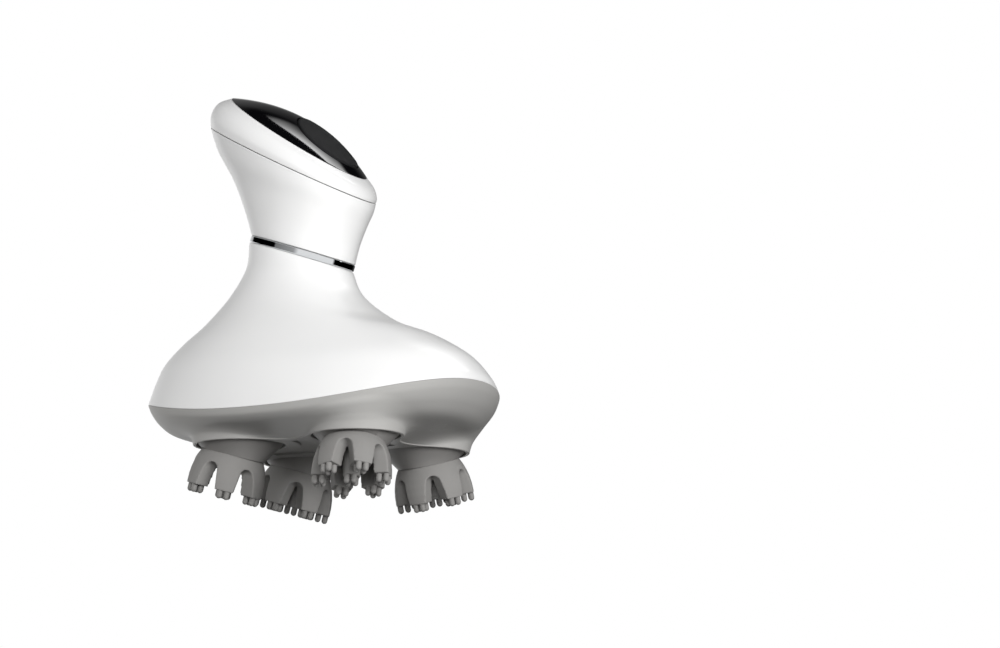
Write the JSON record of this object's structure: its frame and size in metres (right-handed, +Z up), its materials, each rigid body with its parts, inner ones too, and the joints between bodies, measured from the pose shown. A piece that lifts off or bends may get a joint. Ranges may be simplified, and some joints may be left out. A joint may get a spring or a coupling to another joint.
{
  "type": "scalp massager",
  "caption": "Hand-held scalp massager: a mushroom-shaped body with a neck ring and domed power button, standing on four leaning soft claw heads that turn together.",
  "frame": {"origin": "on the table, under the middle of the oval base; the lowest finger tips touch z = 0", "axes": "+Z up, +X toward the front, where the cap slopes down, and -Y the right-hand side"},
  "size_m": [0.1264, 0.1, 0.1499],
  "materials": {
    "white_gloss": "gloss moulded plastic",
    "grey_satin": "satin moulded plastic",
    "black_gloss": "high-gloss black plastic",
    "button_matte": "matte dark grey plastic",
    "chrome_trim": "bright chromed metal",
    "claw_rubber": "soft satin silicone rubber",
    "carrier_plastic": "satin moulded plastic",
    "seal_rubber": "soft black rubber",
    "gear_plastic": "acetal gear plastic",
    "bush_bronze": "sintered bronze",
    "steel": "steel",
    "plate_aluminium": "aluminium plate",
    "inner_plastic": "moulded plastic",
    "black_plastic": "black moulded plastic",
    "board_green": "circuit board laminate",
    "cell_blue": "shrink sleeve of the cell",
    "contact_gold": "gold-plated contact"
  },
  "bodies": {
    "housing": {"base_housing": "grey_satin", "body_cover": "white_gloss", "neck_ring": "chrome_trim", "handle_cover": "white_gloss", "cap_rim": "white_gloss", "top_dome": "black_gloss", "button_pad": "seal_rubber", "control_board": "board_green", "tact_switch": "black_plastic", "board_parts": "black_plastic", "board_screws": "steel", "battery_cell": "cell_blue", "battery_cradle": "inner_plastic", "charging_socket": "black_plastic", "charging_contacts": "contact_gold", "gear_plate": "plate_aluminium", "plate_screws": "steel", "gearbox_can": "steel", "motor_can": "steel", "motor_screws": "steel", "centre_pin": "steel", "shaft_bushes": "bush_bronze", "shaft_seals": "seal_rubber", "cover_screws": "steel", "screw_plugs": "grey_satin"},
    "button": {"power_button": "button_matte", "button_clip": "steel"},
    "drive": {"centre_gear": "gear_plastic"},
    "pinion": {"motor_pinion": "steel"},
    "head_back_right": {"shaft_back_right": "steel", "gear_back_right": "gear_plastic", "carrier_back_right": "carrier_plastic", "claw_back_right": "claw_rubber"},
    "head_front_right": {"shaft_front_right": "steel", "gear_front_right": "gear_plastic", "carrier_front_right": "carrier_plastic", "claw_front_right": "claw_rubber"},
    "head_front_left": {"shaft_front_left": "steel", "gear_front_left": "gear_plastic", "carrier_front_left": "carrier_plastic", "claw_front_left": "claw_rubber"},
    "head_back_left": {"shaft_back_left": "steel", "gear_back_left": "gear_plastic", "carrier_back_left": "carrier_plastic", "claw_back_left": "claw_rubber"}
  },
  "joints": [
    {"name": "button_press", "type": "slide", "parent": "housing", "child": "button", "axis": [-0.6626, 0, -0.749], "range_m": [0, 0.0007], "stiffness_N_per_m": 900, "springref_m": -0.0008},
    {"name": "drive_spin", "type": "hinge", "parent": "housing", "child": "drive", "pos_m": [0.0036, 0, 0.03344], "axis": [0, 0, 1], "continuous": true},
    {"name": "pinion_spin", "type": "hinge", "parent": "housing", "child": "pinion", "pos_m": [-0.0167, 0, 0.03744], "axis": [0, 0, 1], "continuous": true},
    {"name": "back_right_spin", "type": "hinge", "parent": "housing", "child": "head_back_right", "pos_m": [-0.01938, -0.02298, 0.02144], "axis": [0, 0, 1], "continuous": true},
    {"name": "front_right_spin", "type": "hinge", "parent": "housing", "child": "head_front_right", "pos_m": [0.02658, -0.02298, 0.02144], "axis": [0, 0, 1], "continuous": true},
    {"name": "front_left_spin", "type": "hinge", "parent": "housing", "child": "head_front_left", "pos_m": [0.02658, 0.02298, 0.02144], "axis": [0, 0, 1], "continuous": true},
    {"name": "back_left_spin", "type": "hinge", "parent": "housing", "child": "head_back_left", "pos_m": [-0.01938, 0.02298, 0.02144], "axis": [0, 0, 1], "continuous": true}
  ],
  "couplings": [
    {"joint": "pinion_spin", "follows": "drive_spin", "ratio": -3.1429},
    {"joint": "back_right_spin", "follows": "drive_spin", "ratio": -1.6},
    {"joint": "front_right_spin", "follows": "drive_spin", "ratio": -1.6},
    {"joint": "front_left_spin", "follows": "drive_spin", "ratio": -1.6},
    {"joint": "back_left_spin", "follows": "drive_spin", "ratio": -1.6}
  ]
}
